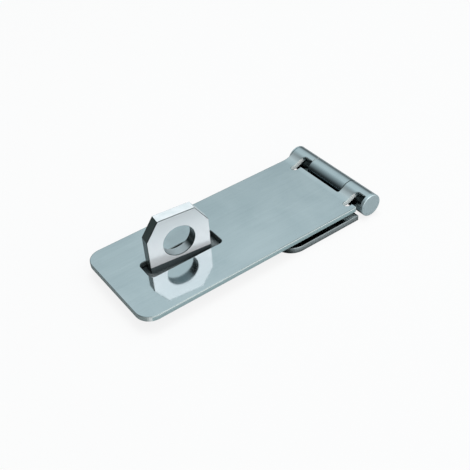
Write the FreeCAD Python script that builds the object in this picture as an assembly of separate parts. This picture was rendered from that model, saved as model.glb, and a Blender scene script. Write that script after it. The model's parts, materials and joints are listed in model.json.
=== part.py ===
import FreeCAD, Part
import math
import os

from FreeCAD import Placement, Rotation, Vector

# Padlock hasp, closed over its staple. Millimetres, +Z up.
# The origin is the middle of the mounting leaf's screw holes, on the surface that the
# hasp is screwed to. The strap runs towards -X and the hinge axis lies along Y.

# Sheet and strap
SHEET = 2.1
STRAP_WIDTH = 38.0
STRAP_REACH = 91.0
STRAP_CORNER_R = 5.3
EDGE_ROUND = 0.3

# Slot in the strap: its middle from the strap's free end, and its room round the staple
SLOT_MIDDLE = 25.8
SLOT_END_ROOM = 5.8
SLOT_SIDE_ROOM = 4.4
SLOT_CORNER_R = 1.6

# Hinge barrel, and how far it clears the surface that the hasp is screwed to
BARREL_R = 4.15
BARREL_LIFT = 0.6
AXIS_BELOW_TOP = 1.55
CENTRE_KNUCKLE_WIDTH = 17.6
KNUCKLE_GAP = 0.3
NECK_BEND_R = 7.0
STRAP_CURL_END = 198.0
LEAF_CURL_END = 214.0
LEAF_ENTRY_WIDER = 1.9

# Opening for the centre knuckle, and the notches beside the two necks.
# The gaps lie between an edge and the barrel. The relief is measured from the notch.
OPENING_GAP = 1.15
OPENING_CORNER_R = 0.8
NOTCH_WIDTH = 4.75
NOTCH_GAP = 1.85
NOTCH_TOP_ANGLE = 113.0
NOTCH_CORNER_R = 2.0
RELIEF_WIDTH = 2.5
RELIEF_DEPTH = 2.3

# Hinge pin
PIN_CLEARANCE = 0.05
PIN_HEAD_NEAR = 1.3
PIN_HEAD_FAR = 0.7
PIN_HEAD_ROUND = 0.35

# Mounting leaf: its length, and the gap from its end to the barrel
LEAF_LENGTH = 31.4
LEAF_GAP = 0.45
LEAF_CORNER_R = 6.3
TONGUE_ROOT_R = 1.0
LEAF_SCREW_PITCH_X = 18.0
LEAF_SCREW_PITCH_Y = 24.0

# Screw holes, the same in the leaf and in the staple's base
SCREW_HOLE_R = 2.25
SCREW_HEAD_R = 3.75

# Staple: a plate loop riveted into a base plate
STAPLE_PLATE = 3.9
STAPLE_WIDTH = 22.0
STAPLE_ABOVE_STRAP = 17.0
STAPLE_CHAMFER_IN = 4.5
STAPLE_CHAMFER_DOWN = 6.6
STAPLE_OFF_MIDDLE_X = -0.6
STAPLE_OFF_MIDDLE_Y = 0.7
STAPLE_TURN = -6.3
SHACKLE_HOLE_R = 5.6
SHACKLE_HOLE_ABOVE_STRAP = 6.45
TENON_WIDTH = 14.0
TENON_CLEARANCE = 0.05
TENON_FLARE = 0.6
TENON_FLARE_HEIGHT = 1.2
BASE_LENGTH = 34.0
BASE_WIDTH = 26.0
BASE_CORNER_R = 3.0
BASE_SCREW_PITCH = 17.0

# The closed strap lies this far above the staple's base
SEAT_GAP = 0.3

# How far a cutter runs past the face it cuts, how far two fused forms share, the length
# of a cutter that goes right through, and how near two values count as the same
OVERRUN = 1.0
OVERLAP = 1.0
THROUGH = 50.0
SAME = 1e-6

# Levels and places that follow from the sizes above
AXIS_X = LEAF_LENGTH / 2 + LEAF_GAP + BARREL_R
AXIS_Z = BARREL_R + BARREL_LIFT
STRAP_TOP = AXIS_Z + AXIS_BELOW_TOP
STRAP_UNDERSIDE = STRAP_TOP - SHEET
BASE_PLATE = STRAP_UNDERSIDE - SEAT_GAP
SLOT_LENGTH = STAPLE_WIDTH + SLOT_END_ROOM
SLOT_WIDTH = STAPLE_PLATE + SLOT_SIDE_ROOM
FREE_END_X = AXIS_X - STRAP_REACH
STRAP_MIDDLE_X = AXIS_X - STRAP_REACH / 2
HALF_WIDTH = STRAP_WIDTH / 2
CURL_R = BARREL_R - SHEET
PIN_R = CURL_R - PIN_CLEARANCE
OPENING_HALF = CENTRE_KNUCKLE_WIDTH / 2 + KNUCKLE_GAP
OPENING_X = AXIS_X - BARREL_R - OPENING_GAP
NOTCH_X = AXIS_X - BARREL_R - NOTCH_GAP
LEAF_ROOT_X = LEAF_LENGTH / 2
LEAF_END_X = -LEAF_LENGTH / 2


def polar(radius, degrees, x=AXIS_X, z=AXIS_Z):
    """A point of the XZ plane at an angle from +X, about the hinge axis unless told."""
    turn = math.radians(degrees)
    return Vector(x + radius * math.cos(turn), 0, z + radius * math.sin(turn))


def arc(radius, start, end, x=AXIS_X, z=AXIS_Z):
    """An arc in the XZ plane from one angle to another, through the angle between them."""
    middle = polar(radius, (start + end) / 2, x, z)
    return Part.Arc(polar(radius, start, x, z), middle, polar(radius, end, x, z)).toShape()


def line(start, end):
    """A straight edge."""
    return Part.LineSegment(start, end).toShape()


def across(edges, y_low, y_high):
    """A closed outline in the XZ plane, extruded along Y between two values."""
    face = Part.Face(Part.Wire(Part.__sortEdges__(edges)))
    solid = face.extrude(Vector(0, y_high - y_low, 0))
    solid.translate(Vector(0, y_low, 0))
    return solid


def polygon_across(points, y_low, y_high):
    """A polygon given by (x, z) points, extruded along Y between two values."""
    corners = [Vector(x, 0, z) for x, z in points]
    edges = [line(a, b) for a, b in zip(corners, corners[1:] + corners[:1])]
    return across(edges, y_low, y_high)


def block(x_low, x_high, y_low, y_high, z_low, z_high):
    """A box between two corners."""
    size = (x_high - x_low, y_high - y_low, z_high - z_low)
    return Part.makeBox(*size, Vector(x_low, y_low, z_low))


def upright_edges(solid, x_test):
    """The edges parallel to Z whose x passes the test."""
    found = []
    for edge in solid.Edges:
        span = edge.BoundBox
        if span.ZLength > SAME and span.XLength < SAME and span.YLength < SAME:
            if x_test(span.XMin):
                found.append(edge)
    return found


def level_edges(solid, level):
    """The edges of a sheet's outline and cut-outs that lie at one height."""
    found = []
    for edge in solid.Edges:
        span = edge.BoundBox
        if abs(span.ZMin - level) < SAME and abs(span.ZMax - level) < SAME:
            found.append(edge)
    return found


def rounded_plate(x_low, x_high, y_low, y_high, z_low, z_high, radius, x_test=None):
    """A plate whose upright corner edges are rounded, all of them or those that pass."""
    plate = block(x_low, x_high, y_low, y_high, z_low, z_high)
    return plate.makeFillet(radius, upright_edges(plate, x_test or (lambda x: True)))


def screw_hole(x, y, plate_top):
    """A cutter for a countersunk screw hole whose head lies flush with the plate's top."""
    depth = SCREW_HEAD_R - SCREW_HOLE_R
    shank = Part.makeCylinder(SCREW_HOLE_R, THROUGH, Vector(x, y, plate_top - THROUGH / 2))
    sink = Part.makeCone(SCREW_HOLE_R, SCREW_HEAD_R, depth, Vector(x, y, plate_top - depth))
    above = Part.makeCylinder(SCREW_HEAD_R, THROUGH, Vector(x, y, plate_top))
    return shank.fuse([sink, above])


def strap_knuckle(y_low, y_high):
    """The strap's end: it bends up off the flat and rolls over the pin, down and back."""
    flat_middle = STRAP_UNDERSIDE + SHEET / 2
    bend_middle_r = NECK_BEND_R + SHEET / 2
    curl_middle_r = BARREL_R - SHEET / 2
    centres_apart = bend_middle_r + curl_middle_r
    turn = math.acos((bend_middle_r + flat_middle - AXIS_Z) / centres_apart)
    lean = math.degrees(turn)
    bend_x = AXIS_X - centres_apart * math.sin(turn)
    bend_z = STRAP_TOP + NECK_BEND_R
    start = 90.0 + lean
    end = STRAP_CURL_END - 360.0
    top_bend = arc(NECK_BEND_R, -90.0, -90.0 + lean, bend_x, bend_z)
    under_bend = arc(NECK_BEND_R + SHEET, -90.0, -90.0 + lean, bend_x, bend_z)
    outside = arc(BARREL_R, start, end)
    inside = arc(CURL_R, start, end)
    lip = line(polar(BARREL_R, end), polar(CURL_R, end))
    root_top = Vector(STRAP_MIDDLE_X, 0, STRAP_TOP)
    root_under = Vector(STRAP_MIDDLE_X, 0, STRAP_UNDERSIDE)
    flat_top = line(root_top, Vector(bend_x, 0, STRAP_TOP))
    flat_under = line(root_under, Vector(bend_x, 0, STRAP_UNDERSIDE))
    root = line(root_top, root_under)
    edges = [root, flat_top, top_bend, outside, lip, inside, under_bend, flat_under]
    return across(edges, y_low, y_high)


def neck_notch(neck_y, edge_x):
    """A cutter on the -Y side of a neck: the notch up to the curl, and its relief slot."""
    below_curl_end = math.radians(STRAP_CURL_END - OVERRUN)
    height = BARREL_R + OVERRUN
    top_x = AXIS_X + height / math.tan(math.radians(NOTCH_TOP_ANGLE))
    wedge_points = [
        (AXIS_X, AXIS_Z),
        (edge_x, AXIS_Z + (edge_x - AXIS_X) * math.tan(below_curl_end)),
        (edge_x, AXIS_Z + height),
        (top_x, AXIS_Z + height),
    ]
    wedge = polygon_across(wedge_points, neck_y - NOTCH_WIDTH - OVERRUN, neck_y)
    corner = [edge for edge in wedge.Edges if on_notch_top(edge.BoundBox, neck_y)]
    wedge = wedge.makeFillet(NOTCH_CORNER_R, corner)
    radius = RELIEF_WIDTH / 2
    slot_x = NOTCH_X - RELIEF_DEPTH + radius
    low = STRAP_UNDERSIDE - OVERRUN
    high = STRAP_TOP + OVERRUN
    round_end = Part.makeCylinder(radius, high - low, Vector(slot_x, neck_y - radius, low))
    slot = block(slot_x, edge_x, neck_y - RELIEF_WIDTH, neck_y, low, high)
    return wedge.fuse([round_end, slot])


def on_notch_top(span, neck_y):
    """Whether an edge's box is that of the notch's upper edge along the neck's side."""
    level = span.YLength < SAME and abs(span.YMin - neck_y) < SAME
    from_axis = span.XMax > AXIS_X - SAME and span.ZMin > AXIS_Z - SAME
    return level and from_axis and span.ZLength > BARREL_R


def centre_opening():
    """A cutter that takes the centre knuckle's place out of the strap."""
    x_high = AXIS_X + BARREL_R + OVERRUN
    z_low = AXIS_Z - BARREL_R - OVERRUN
    z_high = AXIS_Z + BARREL_R + OVERRUN
    near_edge = (lambda x: x < AXIS_X)
    return rounded_plate(
        OPENING_X, x_high, -OPENING_HALF, OPENING_HALF, z_low, z_high, OPENING_CORNER_R, near_edge
    )


def hasp_strap():
    """The long strap: flat plate, slot, centre opening, and two rolled outer knuckles."""
    free_end = (lambda x: x < STRAP_MIDDLE_X)
    plate = rounded_plate(
        FREE_END_X, STRAP_MIDDLE_X + OVERLAP, -HALF_WIDTH, HALF_WIDTH,
        STRAP_UNDERSIDE, STRAP_TOP, STRAP_CORNER_R, free_end,
    )
    slot_x = FREE_END_X + SLOT_MIDDLE - SLOT_LENGTH / 2
    slot = rounded_plate(
        slot_x, slot_x + SLOT_LENGTH, -SLOT_WIDTH / 2, SLOT_WIDTH / 2,
        STRAP_UNDERSIDE - OVERRUN, STRAP_TOP + OVERRUN, SLOT_CORNER_R,
    )
    strap = plate.fuse(strap_knuckle(-HALF_WIDTH, HALF_WIDTH))
    near_notch = neck_notch(-HALF_WIDTH + NOTCH_WIDTH, NOTCH_X)
    far_notch = neck_notch(OPENING_HALF + NOTCH_WIDTH, OPENING_X)
    strap = strap.cut([slot, centre_opening(), near_notch, far_notch]).removeSplitter()
    strap = strap.makeFillet(EDGE_ROUND, level_edges(strap, STRAP_TOP))
    return strap.makeFillet(EDGE_ROUND, level_edges(strap, STRAP_UNDERSIDE))


def hinge_leaf():
    """The mounting leaf: countersunk plate, and a tongue rolled round the pin."""
    free_end = (lambda x: x < 0)
    plate = rounded_plate(
        LEAF_END_X, LEAF_ROOT_X, -HALF_WIDTH, HALF_WIDTH, 0, SHEET, LEAF_CORNER_R, free_end
    )
    leaf = plate.fuse(leaf_tongue())
    at_root = (lambda x: abs(x - LEAF_ROOT_X) < SAME)
    root = [edge for edge in upright_edges(leaf, at_root) if beside_tongue(edge)]
    leaf = leaf.makeFillet(TONGUE_ROOT_R, root).removeSplitter()
    rim = [edge for edge in level_edges(leaf, SHEET) if edge.BoundBox.XMax < LEAF_ROOT_X + SAME]
    leaf = leaf.makeFillet(EDGE_ROUND, rim)
    x_half = LEAF_SCREW_PITCH_X / 2
    y_half = LEAF_SCREW_PITCH_Y / 2
    holes = [screw_hole(x, y, SHEET) for x in (-x_half, x_half) for y in (-y_half, y_half)]
    return leaf.cut(holes).removeSplitter()


def beside_tongue(edge):
    """Whether an upright edge stands where the tongue's side meets the plate's end."""
    return abs(abs(edge.BoundBox.YMin) - CENTRE_KNUCKLE_WIDTH / 2) < SAME


def leaf_tongue():
    """The centre knuckle: flat, then a wide entry bend, then a roll over the pin."""
    middle_r = BARREL_R - SHEET / 2
    entry_r = middle_r + LEAF_ENTRY_WIDER
    drop = AXIS_Z - SHEET / 2
    turn = math.acos((entry_r - drop) / (entry_r - middle_r))
    entry_x = AXIS_X - (entry_r - middle_r) * math.sin(turn)
    entry_z = SHEET / 2 + entry_r
    lean = math.degrees(turn)
    outer_r = entry_r + SHEET / 2
    inner_r = entry_r - SHEET / 2
    start_x = LEAF_ROOT_X - TONGUE_ROOT_R - OVERLAP
    under = line(Vector(start_x, 0, 0), Vector(entry_x, 0, 0))
    top = line(Vector(start_x, 0, SHEET), Vector(entry_x, 0, SHEET))
    root = line(Vector(start_x, 0, 0), Vector(start_x, 0, SHEET))
    entry_under = arc(outer_r, -90.0, -90.0 + lean, entry_x, entry_z)
    entry_top = arc(inner_r, -90.0, -90.0 + lean, entry_x, entry_z)
    outside = arc(BARREL_R, -90.0 + lean, LEAF_CURL_END)
    inside = arc(CURL_R, -90.0 + lean, LEAF_CURL_END)
    lip = line(polar(BARREL_R, LEAF_CURL_END), polar(CURL_R, LEAF_CURL_END))
    edges = [root, under, entry_under, outside, lip, inside, entry_top, top]
    return across(edges, -CENTRE_KNUCKLE_WIDTH / 2, CENTRE_KNUCKLE_WIDTH / 2)


def hinge_pin():
    """The pin: a shank through all three knuckles, and a head closed over each end."""
    along = Vector(0, 1, 0)
    shank = Part.makeCylinder(PIN_R, STRAP_WIDTH, Vector(AXIS_X, -HALF_WIDTH, AXIS_Z), along)
    near_head = pin_head(-HALF_WIDTH, -HALF_WIDTH - PIN_HEAD_NEAR)
    far_head = pin_head(HALF_WIDTH, HALF_WIDTH + PIN_HEAD_FAR)
    return shank.fuse([near_head, far_head]).removeSplitter()


def pin_head(y_seat, y_outer):
    """A flat head between its seat on a knuckle's end and its outer face, rim rounded."""
    start = Vector(AXIS_X, min(y_seat, y_outer), AXIS_Z)
    head = Part.makeCylinder(BARREL_R, abs(y_outer - y_seat), start, Vector(0, 1, 0))
    rim = []
    for edge in head.Edges:
        span = edge.BoundBox
        if span.YLength < SAME and abs(span.YMin - y_outer) < SAME:
            rim.append(edge)
    return head.makeFillet(PIN_HEAD_ROUND, rim)


def tenon(clearance):
    """The loop's foot, flared below where it is riveted over in the base's slot."""
    half_u = TENON_WIDTH / 2 + clearance
    half_v = STAPLE_PLATE / 2 + clearance
    foot = block(-half_u, half_u, -half_v, half_v, 0, BASE_PLATE)
    wide = rectangle_wire(half_u + TENON_FLARE, half_v + TENON_FLARE, 0)
    narrow = rectangle_wire(half_u, half_v, TENON_FLARE_HEIGHT)
    flare = Part.makeLoft([wide, narrow], True, True)
    return foot.fuse(flare)


def rectangle_wire(half_u, half_v, z):
    """A level rectangle about the Z axis."""
    corners = [(-half_u, -half_v), (half_u, -half_v), (half_u, half_v), (-half_u, half_v)]
    points = [Vector(u, v, z) for u, v in corners]
    return Part.makePolygon(points + points[:1])


def in_slot(shape):
    """Moves a staple piece from its own axes to its place in the strap's slot."""
    middle_x = FREE_END_X + SLOT_MIDDLE
    place = Vector(middle_x + STAPLE_OFF_MIDDLE_X, STAPLE_OFF_MIDDLE_Y, 0)
    shape.Placement = Placement(place, Rotation(Vector(0, 0, 1), STAPLE_TURN))
    return shape


def staple_loop():
    """The loop: an upright plate with cut-off top corners and the shackle's hole."""
    half = STAPLE_WIDTH / 2
    low = BASE_PLATE
    top = STRAP_TOP + STAPLE_ABOVE_STRAP
    shoulder = top - STAPLE_CHAMFER_DOWN
    crown = half - STAPLE_CHAMFER_IN
    left_side = [(-crown, top), (-half, shoulder), (-half, low)]
    right_side = [(half, low), (half, shoulder), (crown, top)]
    plate = polygon_across(left_side + right_side, -STAPLE_PLATE / 2, STAPLE_PLATE / 2)
    hole_start = Vector(0, -THROUGH / 2, STRAP_TOP + SHACKLE_HOLE_ABOVE_STRAP)
    hole = Part.makeCylinder(SHACKLE_HOLE_R, THROUGH, hole_start, Vector(0, 1, 0))
    plate = plate.cut(hole)
    rims = [edge for edge in plate.Edges if on_staple_rim(edge.BoundBox)]
    plate = plate.makeFillet(EDGE_ROUND, rims)
    return in_slot(plate.fuse(tenon(0.0)).removeSplitter())


def on_staple_rim(span):
    """Whether an edge's box lies in a face of the loop, clear of the edge on the base."""
    return span.YLength < SAME and span.ZMax > BASE_PLATE + SAME


def staple_base():
    """The base: a countersunk plate that lies hidden under the closed strap."""
    half_u = BASE_LENGTH / 2
    half_v = BASE_WIDTH / 2
    plate = rounded_plate(-half_u, half_u, -half_v, half_v, 0, BASE_PLATE, BASE_CORNER_R)
    half = BASE_SCREW_PITCH / 2
    holes = [screw_hole(u, v, BASE_PLATE) for u in (-half, half) for v in (-half, half)]
    return in_slot(plate.cut(holes + [tenon(TENON_CLEARANCE)]))


def main():
    """Builds every piece and writes one file for each."""
    os.makedirs("parts", exist_ok=True)
    pieces = {
        "hasp_strap": hasp_strap(),
        "hinge_leaf": hinge_leaf(),
        "hinge_pin": hinge_pin(),
        "staple_loop": staple_loop(),
        "staple_base": staple_base(),
    }
    for name, shape in pieces.items():
        shape.exportStep("parts/" + name + ".step")
        print(name, shape.isValid(), len(shape.Solids), round(shape.Volume, 1))
    print("hinge axis x", round(AXIS_X, 3), "z", round(AXIS_Z, 3))
    print("shackle hole z", round(STRAP_TOP + SHACKLE_HOLE_ABOVE_STRAP, 3))


main()
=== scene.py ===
import json
import math

import bpy
import numpy as np
from bpy.props import FloatProperty, FloatVectorProperty, PointerProperty
from mathutils import Euler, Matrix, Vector


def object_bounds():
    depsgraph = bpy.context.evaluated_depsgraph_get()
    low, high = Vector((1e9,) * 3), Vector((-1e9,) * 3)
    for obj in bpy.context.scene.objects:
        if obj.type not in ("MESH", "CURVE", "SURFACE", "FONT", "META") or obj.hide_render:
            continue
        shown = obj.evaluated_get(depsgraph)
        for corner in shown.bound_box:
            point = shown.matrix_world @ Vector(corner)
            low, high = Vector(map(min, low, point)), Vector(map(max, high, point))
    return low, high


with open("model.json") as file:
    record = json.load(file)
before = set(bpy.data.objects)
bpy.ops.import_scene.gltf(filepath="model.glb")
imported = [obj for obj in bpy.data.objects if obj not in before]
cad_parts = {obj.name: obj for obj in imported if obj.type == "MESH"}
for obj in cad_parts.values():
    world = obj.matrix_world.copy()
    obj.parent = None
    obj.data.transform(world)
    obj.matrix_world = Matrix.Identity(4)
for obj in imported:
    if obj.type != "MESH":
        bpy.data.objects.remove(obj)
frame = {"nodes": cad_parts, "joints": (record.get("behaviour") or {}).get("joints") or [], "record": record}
CAD_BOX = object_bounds()

bl_info = {
    "name": "Padlock hasp looks",
    "version": (1, 0, 0),
    "blender": (4, 5, 0),
    "location": "3D View > Sidebar > Hasp",
    "description": "Zinc finishes, floor, studio light and camera for a closed padlock hasp",
    "category": "Object",
}


def node_box(node):
    """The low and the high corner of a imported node's mesh, in metres."""
    corners = np.array([tuple(corner) for corner in frame["nodes"][node].bound_box])
    return Vector(corners.min(axis=0)), Vector(corners.max(axis=0))


def mount_place(name):
    """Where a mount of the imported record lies, in metres."""
    for mount in frame["record"]["mounts"]:
        if mount["name"] == name:
            return Vector(mount["pos_m"])
    raise LookupError("no mount is called " + name)


# Sizes of the hasp in metres: how far the hinge's axis lies below the strap's top, how far
# edges are eased, and the shackle hole's radius
AXIS_BELOW_TOP = 0.00155
EDGE_EASE = 0.0003
EYE_RADIUS = 0.0056

# Places that the looks hang on, in metres: the hinge's axis, the middle of the shackle hole,
# the tops of base plate, strap and loop, and the strap's half width and free end
HINGE = Vector(frame["joints"][0]["pos_m"])
EYE = mount_place("shackle_hole")
BASE_TOP = node_box("staple_base")[1].z
STRAP_TOP = HINGE.z + AXIS_BELOW_TOP
LOOP_TOP = node_box("staple_loop")[1].z
HALF_WIDTH = node_box("hasp_strap")[1].y
FREE_END_X = node_box("hasp_strap")[0].x

# The strap's slot in metres: its middle, and half its length and width
SLOT_X = FREE_END_X + 0.0258
SLOT_HALF_LENGTH = 0.0139
SLOT_HALF_WIDTH = 0.00415

# Farther out than any piece, in metres
FAR = 1.0
EVERYWHERE = (-FAR, FAR)

# Over how many metres a painted box fades in, unless it says otherwise
SHARP = 0.0002

# How deep the rolled grain is, in metres, and how far the floor keeps off the pieces
GRAIN_DEPTH = 0.00002
FLOOR_GAP = 0.00002

# Roughness of clean and of cloudy plating, as shares of a look's own
CLEAN_SHARE = 0.8
CLOUDY_SHARE = 1.35

# Painted shade: what the colour is multiplied by deep in slots and gaps
PAINTED_DEEP_SHADE = (0.05, 0.065, 0.065)

# Brightness of the studio's back wall as shares of its tone, by the height of the direction
WALL_SHARES = (
    (0.0, 0.16), (0.14, 0.22), (0.35, 0.41), (0.52, 0.84), (0.66, 1.0), (0.8, 1.04), (1.0, 1.07),
)

# How far along Y a direction points where the pale front begins and where it is full
FRONT_BEGINS = 0.25
FRONT_FULL = -0.55

# Sockets of a Mix node, by number because its names repeat
VALUE_A = 2
VALUE_B = 3
COLOUR_A = 6
COLOUR_B = 7
COLOUR_OUT = 2

# What a look's painted recess shade gives, in this order
RECESS_SHADE_LABELS = ("Reach", "Deep", "Open")

# What a zinc look has unless it says otherwise. Its shades for left faces, rounds, boxes
# and recesses paint shade and light into the colour
PLAIN_LOOK = {
    "clouds": 60.0, "stretch": (60.0, 1500.0, 1500.0), "streaks": 0.05, "bump": 0.04,
    "flat_end": -FAR, "metal": 1.0, "cut_metal": 1.0, "left": None, "left_shade_on_cut_only": False,
    "round": None, "boxes": (), "recess_shade": (0.004, 0.15, 0.35),
}


class PlatingSettings(bpy.types.PropertyGroup):
    """Colours and roughness of the zinc plated steel."""

    strap_tone: FloatVectorProperty(
        name="Strap tone", description="Colour of the strap's bright zinc",
        subtype="COLOR", default=(0.84, 0.91, 0.93), min=0.0, max=1.0,
    )
    strap_tint: FloatVectorProperty(
        name="Strap tint", description="Colour of the thicker passivated clouds",
        subtype="COLOR", default=(0.74, 0.82, 0.845), min=0.0, max=1.0,
    )
    staple_tone: FloatVectorProperty(
        name="Staple tone", description="Colour of the staple's paler zinc",
        subtype="COLOR", default=(0.95, 0.97, 1.0), min=0.0, max=1.0,
    )
    staple_tint: FloatVectorProperty(
        name="Staple tint", description="Colour of the staple's duller patches",
        subtype="COLOR", default=(0.83, 0.88, 0.91), min=0.0, max=1.0,
    )
    pin_tone: FloatVectorProperty(
        name="Pin tone", description="Colour of the pin's heads and shank",
        subtype="COLOR", default=(0.80, 0.93, 0.97), min=0.0, max=1.0,
    )
    pin_tint: FloatVectorProperty(
        name="Pin tint", description="Colour of the pin's darker turning marks",
        subtype="COLOR", default=(0.64, 0.76, 0.80), min=0.0, max=1.0,
    )
    strap_roughness: FloatProperty(
        name="Strap roughness", description="Roughness of the strap's rolled faces",
        default=0.07, min=0.0, max=1.0,
    )
    staple_roughness: FloatProperty(
        name="Staple roughness", description="Roughness of the staple's broad faces",
        default=0.20, min=0.0, max=1.0,
    )
    side_roughness: FloatProperty(
        name="Side roughness", description="Roughness of the strap's sheared sides",
        default=0.6, min=0.0, max=1.0,
    )
    cut_roughness: FloatProperty(
        name="Cut roughness", description="Roughness of the leaf's sheared and punched faces",
        default=0.34, min=0.0, max=1.0,
    )
    pin_roughness: FloatProperty(
        name="Pin roughness", description="Roughness of the pin",
        default=0.28, min=0.0, max=1.0,
    )


class StudioSettings(bpy.types.PropertyGroup):
    """Camera, lamps and floor."""

    camera_place: FloatVectorProperty(
        name="Camera place", description="Where the camera stands",
        subtype="TRANSLATION", unit="LENGTH", default=(-0.13668, -0.16994, 0.17445),
    )
    camera_turn: FloatVectorProperty(
        name="Camera turn", description="How the camera is turned",
        subtype="EULER", unit="ROTATION",
        default=(math.radians(49.769), math.radians(3.160), math.radians(-36.337)),
    )
    lens: FloatProperty(
        name="Lens", description="Focal length for a 36 mm sensor, in millimetres",
        default=60.08, min=10.0,
    )
    floor_radius: FloatProperty(
        name="Floor radius", description="Size of the floor", unit="LENGTH",
        subtype="DISTANCE", default=4.0, min=0.2,
    )
    floor_tone: FloatVectorProperty(
        name="Floor tone", description="Colour of the floor as it lights the object",
        subtype="COLOR", default=(0.255, 0.275, 0.28), min=0.0, max=1.0,
    )
    floor_paint: FloatVectorProperty(
        name="Floor paint", description="Colour of the floor as the eye sees it lit",
        subtype="COLOR", default=(0.72, 0.72, 0.72), min=0.0, max=1.0,
    )
    floor_white: FloatProperty(
        name="Floor white", description="Share of plain white in what the camera sees of it",
        default=0.84, min=0.0, max=1.0,
    )
    floor_gleam: FloatProperty(
        name="Floor gleam", description="Share of plain white in what metal mirrors of it",
        default=0.04, min=0.0, max=1.0,
    )
    key_power: FloatProperty(
        name="Key power", description="Power of the large front lamp, in watts",
        default=0.8, min=0.0,
    )
    top_power: FloatProperty(
        name="Top power", description="Power of the overhead lamp, in watts",
        default=2.4, min=0.0,
    )
    key_size: FloatProperty(
        name="Key size", description="Side of the front lamp", unit="LENGTH",
        subtype="DISTANCE", default=0.50, min=0.01,
    )
    top_size: FloatProperty(
        name="Top size", description="Side of the overhead lamp", unit="LENGTH",
        subtype="DISTANCE", default=0.36, min=0.01,
    )
    key_way: FloatVectorProperty(
        name="Key way", description="Direction from the hasp to the front lamp",
        subtype="DIRECTION", default=(0.10, -0.45, 0.88),
    )
    top_way: FloatVectorProperty(
        name="Top way", description="Direction from the hasp to the overhead lamp",
        subtype="DIRECTION", default=(0.12, 0.10, 0.99),
    )
    lamp_distance: FloatProperty(
        name="Lamp distance", description="How far both lamps stand from the hasp",
        unit="LENGTH", subtype="DISTANCE", default=0.7, min=0.1,
    )
    wall_tone: FloatVectorProperty(
        name="Wall tone", description="Cool grey of the back wall at its brightest",
        subtype="COLOR", default=(0.47, 0.56, 0.585), min=0.0, max=1.0,
    )
    left_fall: FloatProperty(
        name="Left fall", description="How far the back wall darkens towards the left",
        default=1.0, min=0.0, max=1.0,
    )
    front_tone: FloatVectorProperty(
        name="Front tone", description="Pale tone of the studio on the camera's side",
        subtype="COLOR", default=(0.93, 0.945, 0.945), min=0.0, max=1.0,
    )
    backdrop_tone: FloatVectorProperty(
        name="Backdrop tone", description="Tone that the eye sees past the floor's edge",
        subtype="COLOR", default=(0.90, 0.905, 0.905), min=0.0, max=1.0,
    )


def settings(context):
    """The two groups of settings that the operators read."""
    return context.scene.hasp_plating, context.scene.hasp_studio


def add_node(tree, kind, place, **values):
    """A node of a tree, with named properties set."""
    node = tree.nodes.new(kind)
    node.location = place
    for key, value in values.items():
        setattr(node, key, value)
    return node


def feed(tree, socket, value):
    """Gives a socket another node's output, or a number, vector or colour of its own."""
    if isinstance(value, bpy.types.NodeSocket):
        tree.links.new(value, socket)
    else:
        socket.default_value = value


def rgba(colour):
    """A colour with full alpha."""
    return (*colour, 1.0)


def maths(tree, operation, place, *values, clamp=False):
    """The output of a Math node over one to three values."""
    node = add_node(tree, "ShaderNodeMath", place, operation=operation, use_clamp=clamp)
    for socket, value in zip(node.inputs, values):
        feed(tree, socket, value)
    return node.outputs[0]


def vector_maths(tree, operation, place, *values):
    """The output of a Vector Math node over one or two vectors."""
    node = add_node(tree, "ShaderNodeVectorMath", place, operation=operation)
    for socket, value in zip(node.inputs, values):
        feed(tree, socket, value)
    return node.outputs[0]


def scaled(tree, vector, factor, place):
    """A vector times a number."""
    node = add_node(tree, "ShaderNodeVectorMath", place, operation="SCALE")
    feed(tree, node.inputs[0], vector)
    feed(tree, node.inputs["Scale"], factor)
    return node.outputs[0]


def axes(tree, vector, place):
    """The outputs X, Y and Z of a vector."""
    node = add_node(tree, "ShaderNodeSeparateXYZ", place)
    feed(tree, node.inputs[0], vector)
    return node.outputs


def noise(tree, vector, place, scale=1.0, detail=2.0, roughness=0.5, distortion=0.0):
    """The value of a cloudy noise at a vector."""
    node = add_node(tree, "ShaderNodeTexNoise", place)
    feed(tree, node.inputs["Vector"], vector)
    feed(tree, node.inputs["Scale"], scale)
    feed(tree, node.inputs["Detail"], detail)
    feed(tree, node.inputs["Roughness"], roughness)
    feed(tree, node.inputs["Distortion"], distortion)
    return node.outputs["Fac"]


def levelled(tree, value, start, end, place, low=0.0, high=1.0, kind="LINEAR"):
    """Goes from low to high as a value goes from start to end, and stays there past them."""
    node = add_node(tree, "ShaderNodeMapRange", place, interpolation_type=kind)
    feed(tree, node.inputs["Value"], value)
    feed(tree, node.inputs["From Min"], start)
    feed(tree, node.inputs["From Max"], end)
    feed(tree, node.inputs["To Min"], low)
    feed(tree, node.inputs["To Max"], high)
    return node.outputs["Result"]


def blended(tree, mask, low, high, place):
    """A number that goes from low to high as a mask goes from 0 to 1."""
    node = add_node(tree, "ShaderNodeMix", place, data_type="FLOAT")
    feed(tree, node.inputs["Factor"], mask)
    feed(tree, node.inputs[VALUE_A], low)
    feed(tree, node.inputs[VALUE_B], high)
    return node.outputs[0]


def mixed(tree, mask, low, high, place, how="MIX"):
    """A colour that goes from low to high, or to low mixed with high, as a mask goes to 1."""
    node = add_node(tree, "ShaderNodeMix", place, data_type="RGBA", blend_type=how)
    feed(tree, node.inputs["Factor"], mask)
    feed(tree, node.inputs[COLOUR_A], low)
    feed(tree, node.inputs[COLOUR_B], high)
    return node.outputs[COLOUR_OUT]


def shaded(tree, mask, colour, shade, place):
    """A colour multiplied by a shade where a mask is 1."""
    return mixed(tree, mask, colour, rgba(shade), place, how="MULTIPLY")


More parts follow.
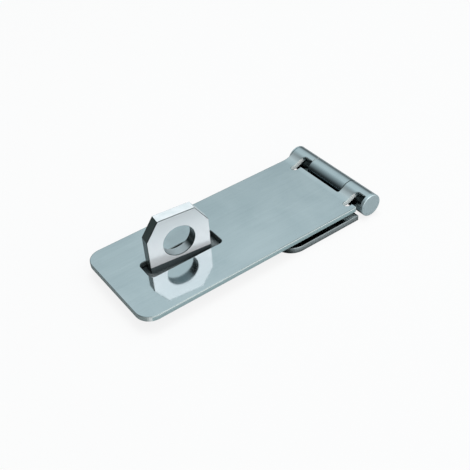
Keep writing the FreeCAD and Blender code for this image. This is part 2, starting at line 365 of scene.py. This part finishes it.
def new_group(name, inputs, outputs):
    """A shader node group with named sockets: its tree, what it takes in and what it gives."""
    tree = bpy.data.node_groups.new(name, "ShaderNodeTree")
    for label, kind, value in inputs:
        socket = tree.interface.new_socket(label, in_out="INPUT", socket_type=kind)
        if value is not None:
            socket.default_value = value
    for label, kind in outputs:
        tree.interface.new_socket(label, in_out="OUTPUT", socket_type=kind)
    entry = add_node(tree, "NodeGroupInput", (-900, 0))
    leave = add_node(tree, "NodeGroupOutput", (900, 0))
    return tree, entry.outputs, leave.inputs


def rolled_grain_group():
    """Long faint lines left by rolling: noise stretched along one direction.

    Height is a fine noise, squeezed across the sheet's rolling direction by Stretch. Tone is
    that plus half of a coarser one, levelled.
    """
    tree, entry, leave = new_group(
        "rolled grain",
        [
            ("Vector", "NodeSocketVector", None),
            ("Stretch", "NodeSocketVector", (60.0, 1500.0, 1500.0)),
            ("Coarse", "NodeSocketFloat", 0.25),
        ],
        [("Tone", "NodeSocketFloat"), ("Height", "NodeSocketFloat")],
    )
    squeezed = vector_maths(tree, "MULTIPLY", (-700, 100), entry["Vector"], entry["Stretch"])
    fine = noise(tree, squeezed, (-450, 200), detail=3.0)
    wider = scaled(tree, squeezed, entry["Coarse"], (-650, -150))
    coarse = noise(tree, wider, (-450, -100))
    both = maths(tree, "MULTIPLY_ADD", (-150, 50), coarse, 0.5, fine)
    feed(tree, leave["Tone"], levelled(tree, both, 0.45, 1.05, (100, 50)))
    feed(tree, leave["Height"], fine)
    return tree


def plating_clouds_group():
    """Cloudy plating: a low noise blends two tones, and dulls the surface where it is high."""
    tree, entry, leave = new_group(
        "plating clouds",
        [
            ("Vector", "NodeSocketVector", None),
            ("Size", "NodeSocketFloat", 60.0),
            ("Tone", "NodeSocketColor", (0.8, 0.8, 0.8, 1.0)),
            ("Tint", "NodeSocketColor", (0.7, 0.7, 0.7, 1.0)),
        ],
        [("Color", "NodeSocketColor"), ("Cloud", "NodeSocketFloat")],
    )
    patches = noise(
        tree, entry["Vector"], (-600, 100),
        scale=entry["Size"], detail=4.0, roughness=0.55, distortion=0.6,
    )
    cloud = levelled(tree, patches, 0.35, 0.68, (-350, 100))
    feed(tree, leave["Color"], mixed(tree, cloud, entry["Tone"], entry["Tint"], (150, 100)))
    feed(tree, leave["Cloud"], cloud)
    return tree


def cut_faces_group():
    """A mask that is 1 on sheared faces, which stand upright, and 0 on rolled ones.

    It reads the surface's own normal: |Ny| near 1 anywhere, or |Nz| small on the flat part,
    where x lies below Flat end, because the knuckles turn their rolled faces upright too.
    """
    tree, entry, leave = new_group(
        "cut faces",
        [("Vector", "NodeSocketVector", None), ("Flat end", "NodeSocketFloat", 0.0)],
        [("Mask", "NodeSocketFloat")],
    )
    surface = add_node(tree, "ShaderNodeNewGeometry", (-900, 300))
    normal = axes(tree, surface.outputs["Normal"], (-700, 300))
    side = maths(tree, "ABSOLUTE", (-500, 400), normal["Y"])
    side_on = levelled(tree, side, 0.75, 0.95, (-300, 400), kind="SMOOTHSTEP")
    rise = maths(tree, "ABSOLUTE", (-500, 200), normal["Z"])
    upright = levelled(tree, rise, 0.6, 0.3, (-300, 200), kind="SMOOTHSTEP")
    place = axes(tree, entry["Vector"], (-700, -50))
    flat = maths(tree, "LESS_THAN", (-500, -50), place["X"], entry["Flat end"])
    both = maths(tree, "MULTIPLY", (-80, 100), upright, flat)
    feed(tree, leave["Mask"], maths(tree, "MAXIMUM", (150, 250), side_on, both))
    return tree


def recess_shade_group():
    """A painted shade mask: 1 deep in slots and gaps, where little open air is left around a point.

    It reads the ambient occlusion value over Reach: 0 from Open up, and 1 from Deep down.
    """
    tree, entry, leave = new_group(
        "recess shade",
        [
            ("Reach", "NodeSocketFloat", 0.004),
            ("Deep", "NodeSocketFloat", 0.15),
            ("Open", "NodeSocketFloat", 0.35),
        ],
        [("Mask", "NodeSocketFloat")],
    )
    air = add_node(tree, "ShaderNodeAmbientOcclusion", (-500, 0), samples=8)
    feed(tree, air.inputs["Distance"], entry["Reach"])
    mask = levelled(
        tree, air.outputs["AO"], entry["Open"], entry["Deep"], (-200, 0), kind="SMOOTHSTEP"
    )
    feed(tree, leave["Mask"], mask)
    return tree


def left_faces_shade_group():
    """A mask that is 1 on faces turned towards -X, away from the pale front, for painted shade."""
    tree, entry, leave = new_group(
        "left faces shade",
        [("Low", "NodeSocketFloat", 0.45), ("High", "NodeSocketFloat", 0.75)],
        [("Mask", "NodeSocketFloat")],
    )
    surface = add_node(tree, "ShaderNodeNewGeometry", (-700, 0))
    normal = axes(tree, surface.outputs["True Normal"], (-500, 0))
    turned = maths(tree, "MULTIPLY", (-300, 0), normal["X"], -1.0)
    mask = levelled(tree, turned, entry["Low"], entry["High"], (-100, 0), kind="SMOOTHSTEP")
    feed(tree, leave["Mask"], mask)
    return tree


def rounds_group():
    """A mask that is 1 on the small rounds along a sheet's edges that face up, for painted shade.

    There |Ny| lies between 0.15 and 0.97, and Nz above Rise: flat faces, ends and curls stay 0.
    """
    tree, entry, leave = new_group(
        "rounds", [("Rise", "NodeSocketFloat", 0.2)], [("Mask", "NodeSocketFloat")]
    )
    surface = add_node(tree, "ShaderNodeNewGeometry", (-900, 0))
    normal = axes(tree, surface.outputs["Normal"], (-700, 0))
    side = maths(tree, "ABSOLUTE", (-500, 150), normal["Y"])
    begun = levelled(tree, side, 0.15, 0.35, (-300, 250), kind="SMOOTHSTEP")
    ended = levelled(tree, side, 0.97, 0.85, (-300, 0), kind="SMOOTHSTEP")
    up = maths(tree, "GREATER_THAN", (-300, -250), normal["Z"], entry["Rise"])
    between = maths(tree, "MULTIPLY", (-50, 150), begun, ended)
    feed(tree, leave["Mask"], maths(tree, "MULTIPLY", (150, 0), between, up))
    return tree


def inside_box_group():
    """A mask that is 1 inside a box given by two corners, and falls to 0 at its faces.

    It is the least of (place - Low) and (High - place) over the axes, levelled over Soft.
    """
    tree, entry, leave = new_group(
        "inside box",
        [
            ("Vector", "NodeSocketVector", None),
            ("Low", "NodeSocketVector", (-FAR, -FAR, -FAR)),
            ("High", "NodeSocketVector", (FAR, FAR, FAR)),
            ("Soft", "NodeSocketFloat", SHARP),
        ],
        [("Mask", "NodeSocketFloat")],
    )
    above = vector_maths(tree, "SUBTRACT", (-650, 150), entry["Vector"], entry["Low"])
    below = vector_maths(tree, "SUBTRACT", (-650, -100), entry["High"], entry["Vector"])
    least = axes(tree, vector_maths(tree, "MINIMUM", (-450, 0), above, below), (-250, 0))
    first = maths(tree, "MINIMUM", (-50, 100), least["X"], least["Y"])
    last = maths(tree, "MINIMUM", (130, 0), first, least["Z"])
    feed(tree, leave["Mask"], levelled(tree, last, 0.0, entry["Soft"], (350, 0)))
    return tree


GROUPS = {
    "rolled grain": rolled_grain_group,
    "plating clouds": plating_clouds_group,
    "cut faces": cut_faces_group,
    "recess shade": recess_shade_group,
    "left faces shade": left_faces_shade_group,
    "rounds": rounds_group,
    "inside box": inside_box_group,
}


def place_group(tree, name, place, values):
    """The outputs of a shared node group, built once, placed with values of its own."""
    node = add_node(tree, "ShaderNodeGroup", place)
    node.node_tree = bpy.data.node_groups.get(name) or GROUPS[name]()
    for label, value in values.items():
        feed(tree, node.inputs[label], value)
    return node.outputs


def around(middle, half):
    """The two limits that lie half a length either side of a middle."""
    return middle - half, middle + half


def painted_box(shade, x=EVERYWHERE, y=EVERYWHERE, z=EVERYWHERE, soft=SHARP, beside_cuts=False):
    """A box that paints shade or light: a look's colour is multiplied there by a shade.

    Each of x, y and z is a pair of limits. The shade fades in over soft, and beside_cuts keeps
    it off the sheared faces.
    """
    return {
        "low": (x[0], y[0], z[0]), "high": (x[1], y[1], z[1]),
        "shade": shade, "soft": soft, "beside_cuts": beside_cuts,
    }


def zinc_material(name, look):
    """Zinc plated steel, after a look: clouds for colour, rolled grain for bump, cut faces.

    The look's shades multiply the colour and so paint shade and light into it: painted
    shade on faces turned to the left, all of them or the sheared ones only, painted shade on
    the rounds along edges, and painted shade or light for each box, which may spare the
    sheared faces. The recess shade gives the reach and the two levels of the mask that paints
    shade into slots and gaps.
    """
    look = {**PLAIN_LOOK, **look}
    material = bpy.data.materials.new(name)
    material.use_nodes = True
    tree = material.node_tree
    tree.nodes.clear()
    out = add_node(tree, "ShaderNodeOutputMaterial", (1500, 0))
    steel = add_node(tree, "ShaderNodeBsdfPrincipled", (1200, 0))
    feed(tree, out.inputs["Surface"], steel.outputs[0])
    where = add_node(tree, "ShaderNodeTexCoord", (-900, 0)).outputs["Object"]

    cloud = place_group(tree, "plating clouds", (-500, 300), {
        "Vector": where, "Size": look["clouds"],
        "Tone": rgba(look["tone"]), "Tint": rgba(look["tint"]),
    })
    grain = place_group(tree, "rolled grain", (-500, -100), {
        "Vector": where, "Stretch": look["stretch"],
    })
    cut = place_group(tree, "cut faces", (-500, -400), {
        "Vector": where, "Flat end": look["flat_end"],
    })["Mask"]

    faintest = 1.0 - look["streaks"]
    streak = levelled(tree, grain["Tone"], 0.0, 1.0, (-300, 100), low=faintest)
    tone = mixed(tree, 1.0, cloud["Color"], streak, (-150, 300), how="MULTIPLY")
    tone = mixed(tree, cut, tone, rgba(look["cut_tone"]), (50, 300))
    # Painted shade on faces turned to the left
    if look["left"]:
        left = place_group(tree, "left faces shade", (-500, -650), {})["Mask"]
        if look["left_shade_on_cut_only"]:
            left = maths(tree, "MULTIPLY", (-250, -650), left, cut)
        tone = shaded(tree, left, tone, look["left"], (250, 400))
    # Painted shade on the rounds along edges
    if look["round"]:
        round_shade_mask = place_group(tree, "rounds", (-500, -800), {})["Mask"]
        tone = shaded(tree, round_shade_mask, tone, look["round"], (400, 400))
    # Painted shade or light in each box
    for step, box in enumerate(look["boxes"]):
        mask = place_group(tree, "inside box", (300, 650 + 250 * step), {
            "Vector": where, "Low": box["low"], "High": box["high"], "Soft": box["soft"],
        })["Mask"]
        if box["beside_cuts"]:
            mask = maths(tree, "SUBTRACT", (450, 650 + 250 * step), mask, cut, clamp=True)
        tone = shaded(tree, mask, tone, box["shade"], (550 + 150 * step, 400))
    # Painted shade deep in slots and gaps
    painted_gap_shade = place_group(tree, "recess shade", (-500, -950), dict(zip(RECESS_SHADE_LABELS, look["recess_shade"])))
    tone = shaded(tree, painted_gap_shade["Mask"], tone, PAINTED_DEEP_SHADE, (1000, 250))
    feed(tree, steel.inputs["Base Color"], tone)

    metal = look["metal"]
    if look["cut_metal"] != metal:
        metal = blended(tree, cut, metal, look["cut_metal"], (250, 100))
    feed(tree, steel.inputs["Metallic"], metal)
    dull = levelled(
        tree, cloud["Cloud"], 0.0, 1.0, (-150, 0),
        low=look["rough"] * CLEAN_SHARE, high=look["rough"] * CLOUDY_SHARE,
    )
    rough = blended(tree, cut, dull, look["cut_rough"], (250, -50))
    feed(tree, steel.inputs["Roughness"], rough)

    bump = add_node(tree, "ShaderNodeBump", (600, -250))
    feed(tree, bump.inputs["Strength"], look["bump"])
    feed(tree, bump.inputs["Distance"], GRAIN_DEPTH)
    feed(tree, bump.inputs["Height"], grain["Height"])
    feed(tree, steel.inputs["Normal"], bump.outputs["Normal"])
    return material


def wear(node, material):
    """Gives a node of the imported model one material."""
    mesh = frame["nodes"][node].data
    mesh.materials.clear()
    mesh.materials.append(material)


class HASP_OT_strap(bpy.types.Operator):
    """Finish the slotted strap in smooth bright zinc"""

    bl_idname = "hasp.strap"
    bl_label = "Finish strap"

    def execute(self, context):
        plating, _ = settings(context)
        # Painted shade: the sheared sides are darkened below the top, the more so the lower down
        side_end = HINGE.x - 0.004
        edge = HALF_WIDTH - 2 * EDGE_EASE
        painted_side_shades = [
            painted_box(shade, x=(-FAR, side_end), y=side, z=(-FAR, top), soft=soft)
            for side in ((-FAR, -edge), (edge, FAR))
            for shade, top, soft in (
                ((0.46, 0.58, 0.60), STRAP_TOP - EDGE_EASE, SHARP),
                ((0.68, 0.70, 0.71), STRAP_TOP - 2 * EDGE_EASE, 4 * EDGE_EASE),
            )
        ]
        # Painted shade below the axis, where the curls face their own necks with little light between
        under_curl_shade = painted_box(
            (0.12, 0.14, 0.14), x=(HINGE.x - 0.006, HINGE.x - 0.0008), z=(-FAR, HINGE.z)
        )
        # Painted shade on the slot's walls and eased rim, from just below the strap's top down
        slot_room = 0.001
        just_below = 0.00008
        slot_shade = painted_box(
            (0.08, 0.10, 0.10), x=around(SLOT_X, SLOT_HALF_LENGTH + slot_room),
            y=around(0.0, SLOT_HALF_WIDTH + slot_room), z=(-FAR, STRAP_TOP - just_below),
        )
        # Painted light on the necks where they rise into the curls
        neck_rise = 0.0022
        neck_highlight = painted_box(
            (1.14, 1.07, 1.05), x=(HINGE.x - 0.009, HINGE.x - neck_rise),
            z=(STRAP_TOP, STRAP_TOP + neck_rise), soft=0.0006,
        )
        # A painted soft shadow behind the loop, and painted light on the near half
        behind_loop_shadow = painted_box(
            (0.89, 0.88, 0.88), x=(EYE.x - 0.0025, EYE.x + 0.0105),
            y=(EYE.y + 0.0018, EYE.y + 0.0118), soft=0.0035,
        )
        near_half_light = painted_box((1.04, 1.035, 1.035), y=(-FAR, 0.004), soft=0.016)
        # The strap's look also paints shade on its left-facing sheared faces and on its eased rounds
        wear("hasp_strap", zinc_material("strap bright zinc", {
            "tone": plating.strap_tone, "tint": plating.strap_tint, "clouds": 55.0,
            "rough": plating.strap_roughness, "cut_rough": plating.side_roughness,
            "cut_metal": 0.0, "cut_tone": (0.94, 1.0, 1.0), "flat_end": HINGE.x - 0.0075,
            "left": (0.36, 0.40, 0.40), "left_shade_on_cut_only": True, "round": (0.42, 0.47, 0.47),
            "boxes": (*painted_side_shades, under_curl_shade, slot_shade, neck_highlight, behind_loop_shadow, near_half_light),
            "recess_shade": (0.003, 0.10, 0.28),
        }))
        return {"FINISHED"}


class HASP_OT_leaf(bpy.types.Operator):
    """Finish the mounting leaf in the strap's zinc, a little duller"""

    bl_idname = "hasp.leaf"
    bl_label = "Finish mounting leaf"

    def execute(self, context):
        plating, _ = settings(context)
        # Painted shade on the centre knuckle's side towards the strap's opening, which the light misses
        low_side_shade = painted_box(
            (0.62, 0.66, 0.68), x=(HINGE.x - 0.02, HINGE.x - 0.0012),
            z=(HINGE.z - 0.002, FAR), soft=0.0022,
        )
        # The leaf's look also paints shade on its left-facing sheared faces and on its eased rounds
        wear("hinge_leaf", zinc_material("leaf bright zinc", {
            "tone": plating.strap_tone, "tint": plating.strap_tint,
            "rough": plating.strap_roughness * 2.0, "cut_rough": plating.cut_roughness,
            "cut_tone": (0.78, 0.84, 0.85), "flat_end": HINGE.x - 0.0048,
            "left": (0.45, 0.48, 0.48), "left_shade_on_cut_only": True, "round": (0.5, 0.52, 0.52),
            "recess_shade": (0.008, 0.40, 0.66), "boxes": (low_side_shade,),
        }))
        return {"FINISHED"}


class HASP_OT_pin(bpy.types.Operator):
    """Finish the headed hinge pin in turned steel, with painted shade on its shank"""

    bl_idname = "hasp.pin"
    bl_label = "Finish hinge pin"

    def execute(self, context):
        plating, _ = settings(context)
        # Painted shade darkens the shank, which lies in the dark of the knuckles; only the heads show
        shank_shade = painted_box((0.05, 0.06, 0.06), y=around(0.0, HALF_WIDTH))
        wear("hinge_pin", zinc_material("pin turned steel", {
            "tone": plating.pin_tone, "tint": plating.pin_tint,
            "rough": plating.pin_roughness, "cut_rough": plating.pin_roughness,
            "cut_tone": plating.pin_tone, "stretch": (900.0, 60.0, 900.0), "clouds": 120.0,
            "metal": 0.8, "cut_metal": 0.8, "boxes": (shank_shade,),
        }))
        return {"FINISHED"}


class HASP_OT_staple(bpy.types.Operator):
    """Finish the staple's loop and base in paler satin zinc"""

    bl_idname = "hasp.staple"
    bl_label = "Finish staple"

    def execute(self, context):
        plating, _ = settings(context)
        # The satin look paints deep shade on faces turned to the left and on the rounds along edges
        satin = {
            "tone": plating.staple_tone, "tint": plating.staple_tint, "clouds": 380.0,
            "rough": plating.staple_roughness, "cut_rough": plating.staple_roughness,
            "cut_tone": plating.staple_tone, "stretch": (220.0, 900.0, 60.0),
            "metal": 0.2, "cut_metal": 0.2,
            "left": (0.05, 0.065, 0.06), "round": (0.05, 0.07, 0.07),
        }
        # Painted shade on the loop's foot, dark in the slot
        in_slot_shade = painted_box((0.10, 0.125, 0.13), z=(BASE_TOP - SHARP, STRAP_TOP))
        # Painted shade on the shackle hole's wall with its eased rims
        bore_reach = EYE_RADIUS + EDGE_EASE
        bore_shade = painted_box(
            (0.52, 0.57, 0.58), x=around(EYE.x, bore_reach), y=around(EYE.y, 0.004),
            z=around(EYE.z, bore_reach), beside_cuts=True,
        )
        # Painted shade darkens the upper half towards the top, and painted light makes the narrow
        # top face the brightest
        shoulder_shade = painted_box((0.89, 0.92, 0.925), z=(EYE.z, FAR), soft=0.007)
        crown_highlight = painted_box((1.05, 1.03, 1.02), z=(LOOP_TOP - 0.00025, FAR))
        loop = {**satin, "boxes": (in_slot_shade, bore_shade, shoulder_shade, crown_highlight)}
        wear("staple_loop", zinc_material("staple satin zinc", loop))
        # The base paints milder shade on its left faces, and a wider painted shade in the recesses by the
        # loop's foot
        base = {**satin, "left": (0.6, 0.63, 0.63), "recess_shade": (0.0065, 0.50, 0.88)}
        wear("staple_base", zinc_material("base satin zinc", base))
        return {"FINISHED"}


def floor_mesh(radius, rings=24, spokes=96, flat_share=0.8, rise=0.035):
    """A round floor, flat in the middle, whose rim lifts a little at the far edge.

    A point at share r of the radius and angle a lies at (r cos a, r sin a) times the radius.
    Past flat_share it lifts by rise times the radius times the square of
    (r - flat_share) / (1 - flat_share). Around the middle point stands one small ring.
    """
    hub = 0.02
    first_ring = 0.05
    share = np.concatenate([[hub], np.linspace(first_ring, 1.0, rings)])
    angle = np.linspace(0.0, 2.0 * np.pi, spokes, endpoint=False)
    r, a = np.meshgrid(share, angle, indexing="ij")
    past = np.clip((r - flat_share) / (1.0 - flat_share), 0.0, 1.0)
    points = np.stack([r * np.cos(a), r * np.sin(a), rise * past ** 2], axis=-1) * radius
    points = np.vstack([points.reshape(-1, 3), np.zeros((1, 3))])
    middle = len(points) - 1
    inner = np.arange(len(share) - 1)[:, None] * spokes
    step = np.arange(spokes)[None, :]
    after = (step + 1) % spokes
    quads = np.stack(
        [inner + step, inner + spokes + step, inner + spokes + after, inner + after], axis=-1
    ).reshape(-1, 4)
    fan = np.stack([np.full(spokes, middle), step[0], after[0]], axis=-1)
    mesh = bpy.data.meshes.new("floor")
    mesh.from_pydata(points.tolist(), [], quads.tolist() + fan.tolist())
    mesh.validate()
    mesh.update()
    return mesh


def floor_material(studio):
    """A pale floor, whiter for the eye than for the metal, which keeps the object's shadow."""
    material = bpy.data.materials.new("pale floor")
    material.use_nodes = True
    tree = material.node_tree
    tree.nodes.clear()
    out = add_node(tree, "ShaderNodeOutputMaterial", (700, 0))
    path = add_node(tree, "ShaderNodeLightPath", (-900, 200)).outputs
    tone = rgba(studio.floor_tone)
    paint = mixed(tree, path["Is Camera Ray"], tone, rgba(studio.floor_paint), (-300, 150))
    matt = add_node(tree, "ShaderNodeBsdfDiffuse", (0, 100))
    feed(tree, matt.inputs["Color"], paint)
    glow = add_node(tree, "ShaderNodeEmission", (0, -100))
    feed(tree, glow.inputs["Color"], rgba((1.0, 1.0, 1.0)))
    feed(tree, glow.inputs["Strength"], 1.0)
    mirrored = maths(
        tree, "MAXIMUM", (-650, -50), path["Is Glossy Ray"], path["Is Transmission Ray"]
    )
    eye = maths(tree, "MULTIPLY", (-400, 450), path["Is Camera Ray"], studio.floor_white)
    faint = maths(tree, "MULTIPLY", (-400, -50), mirrored, studio.floor_gleam)
    mix = add_node(tree, "ShaderNodeMixShader", (400, 0))
    feed(tree, mix.inputs[0], maths(tree, "MAXIMUM", (-150, 350), eye, faint))
    feed(tree, mix.inputs[1], matt.outputs[0])
    feed(tree, mix.inputs[2], glow.outputs[0])
    feed(tree, out.inputs["Surface"], mix.outputs[0])
    return material


def studio_world(studio):
    """The studio round the object.

    Towards the back its tone follows a ramp over the height z of the direction: dark at the
    horizon and cool grey from 40 degrees up. It is multiplied by 1 + left fall * min(x, 0),
    so that the back left is darker. Towards -Y it blends into the pale front. The eye sees
    it pale all round, like the floor.
    """
    world = bpy.data.worlds.new("studio")
    world.use_nodes = True
    tree = world.node_tree
    tree.nodes.clear()
    out = add_node(tree, "ShaderNodeOutputWorld", (1100, 0))
    sky = add_node(tree, "ShaderNodeBackground", (900, 0))
    where = add_node(tree, "ShaderNodeTexCoord", (-900, 0)).outputs["Generated"]
    way = axes(tree, vector_maths(tree, "NORMALIZE", (-700, 0), where), (-500, 0))
    ramp = add_node(tree, "ShaderNodeValToRGB", (-250, 250))
    stops = ramp.color_ramp.elements
    for height, _ in WALL_SHARES[1:-1]:
        stops.new(height)
    for stop, (height, share) in zip(stops, WALL_SHARES):
        stop.position = height
        stop.color = rgba([share * tone for tone in studio.wall_tone])
    feed(tree, ramp.inputs[0], way["Z"])
    left = maths(tree, "MINIMUM", (-250, -50), way["X"], 0.0)
    fall = maths(tree, "MULTIPLY_ADD", (-50, -50), left, studio.left_fall, 1.0)
    back = scaled(tree, ramp.outputs["Color"], fall, (150, 150))
    front = levelled(
        tree, way["Y"], FRONT_BEGINS, FRONT_FULL, (150, -150), kind="SMOOTHSTEP"
    )
    both = mixed(tree, front, back, rgba(studio.front_tone), (450, 50))
    eye = add_node(tree, "ShaderNodeLightPath", (450, 350)).outputs["Is Camera Ray"]
    seen = mixed(tree, eye, both, rgba(studio.backdrop_tone), (700, 50))
    feed(tree, sky.inputs["Color"], seen)
    feed(tree, out.inputs["Surface"], sky.outputs[0])
    return world


def softbox(name, way, distance, size, power, target):
    """A square lamp that faces the target from a direction and a distance."""
    lamp = bpy.data.lights.new(name, "AREA")
    lamp.shape = "SQUARE"
    lamp.size = size
    lamp.energy = power
    thing = bpy.data.objects.new(name, lamp)
    bpy.context.scene.collection.objects.link(thing)
    towards = Vector(way).normalized()
    thing.location = target + towards * distance
    thing.rotation_euler = (-towards).to_track_quat("-Z", "Y").to_euler()
    return thing


class HASP_OT_stage(bpy.types.Operator):
    """Set the floor, the studio's light and the camera"""

    bl_idname = "hasp.stage"
    bl_label = "Set stage"

    def execute(self, context):
        _, studio = settings(context)
        scene = context.scene
        floor = bpy.data.objects.new("floor", floor_mesh(studio.floor_radius))
        floor.location.z = CAD_BOX[0].z - FLOOR_GAP
        floor.data.materials.append(floor_material(studio))
        scene.collection.objects.link(floor)
        scene.world = studio_world(studio)
        middle = (CAD_BOX[0] + CAD_BOX[1]) / 2
        away = studio.lamp_distance
        softbox(
            "front softbox", studio.key_way, away, studio.key_size, studio.key_power, middle
        )
        top = softbox(
            "top softbox", studio.top_way, away, studio.top_size, studio.top_power, middle
        )
        # Seen from above, the flat strap would mirror this lamp as one white patch
        top.visible_glossy = False
        view = bpy.data.cameras.new("camera")
        view.sensor_width = 36.0
        view.lens = studio.lens
        view.clip_start = 0.01
        camera = bpy.data.objects.new("camera", view)
        camera.location = studio.camera_place
        camera.rotation_euler = Euler(studio.camera_turn)
        scene.collection.objects.link(camera)
        scene.camera = camera
        scene.view_settings.view_transform = "Standard"
        return {"FINISHED"}


class HASP_PT_panel(bpy.types.Panel):
    """Lists the steps that give the hasp its looks"""

    bl_label = "Hasp"
    bl_idname = "HASP_PT_panel"
    bl_space_type = "VIEW_3D"
    bl_region_type = "UI"
    bl_category = "Hasp"

    def draw(self, context):
        layout = self.layout
        for step in STEPS:
            layout.operator(step.bl_idname)
        for group in settings(context):
            box = layout.box()
            for name in group.__annotations__:
                box.prop(group, name)


STEPS = (HASP_OT_strap, HASP_OT_leaf, HASP_OT_pin, HASP_OT_staple, HASP_OT_stage)
CLASSES = (PlatingSettings, StudioSettings, *STEPS, HASP_PT_panel)


def register():
    for kind in CLASSES:
        bpy.utils.register_class(kind)
    bpy.types.Scene.hasp_plating = PointerProperty(type=PlatingSettings)
    bpy.types.Scene.hasp_studio = PointerProperty(type=StudioSettings)


def unregister():
    del bpy.types.Scene.hasp_studio
    del bpy.types.Scene.hasp_plating
    for kind in reversed(CLASSES):
        bpy.utils.unregister_class(kind)


def main():
    """Registers the add-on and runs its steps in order."""
    register()
    bpy.ops.hasp.strap()
    bpy.ops.hasp.leaf()
    bpy.ops.hasp.pin()
    bpy.ops.hasp.staple()
    bpy.ops.hasp.stage()


if __name__ == "__main__":
    main()
